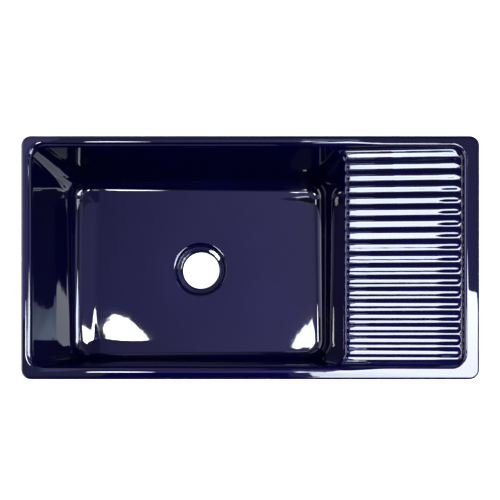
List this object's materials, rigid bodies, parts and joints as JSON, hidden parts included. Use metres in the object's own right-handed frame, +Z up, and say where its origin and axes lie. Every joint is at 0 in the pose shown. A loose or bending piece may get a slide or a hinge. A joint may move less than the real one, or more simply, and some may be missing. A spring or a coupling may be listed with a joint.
{
  "type": "kitchen sink with drainboard",
  "caption": "Glazed fireclay apron-front kitchen sink with one deep bowl, an open waste outlet and an integral fluted drainboard that falls to the bowl.",
  "frame": {"origin": "middle of the underside, on the surface that the sink stands on", "axes": "+X along the length towards the drainboard end, -Y out of the apron front, +Z up"},
  "size_m": [0.914, 0.486, 0.254],
  "materials": {
    "sapphire_glaze": "high gloss deep blue glaze, fired on fireclay",
    "bare_fireclay": "unglazed fired fireclay, matt"
  },
  "bodies": {
    "root": {"front_apron_wall": "sapphire_glaze", "rear_wall": "sapphire_glaze", "bowl_end_wall": "sapphire_glaze", "drainboard_end_wall": "sapphire_glaze", "dividing_wall": "sapphire_glaze", "fluted_drainboard": "sapphire_glaze", "bowl_floor": "sapphire_glaze", "outlet_seat_ring": "sapphire_glaze", "board_web_front": "bare_fireclay", "board_web_rear": "bare_fireclay"}
  },
  "joints": []
}
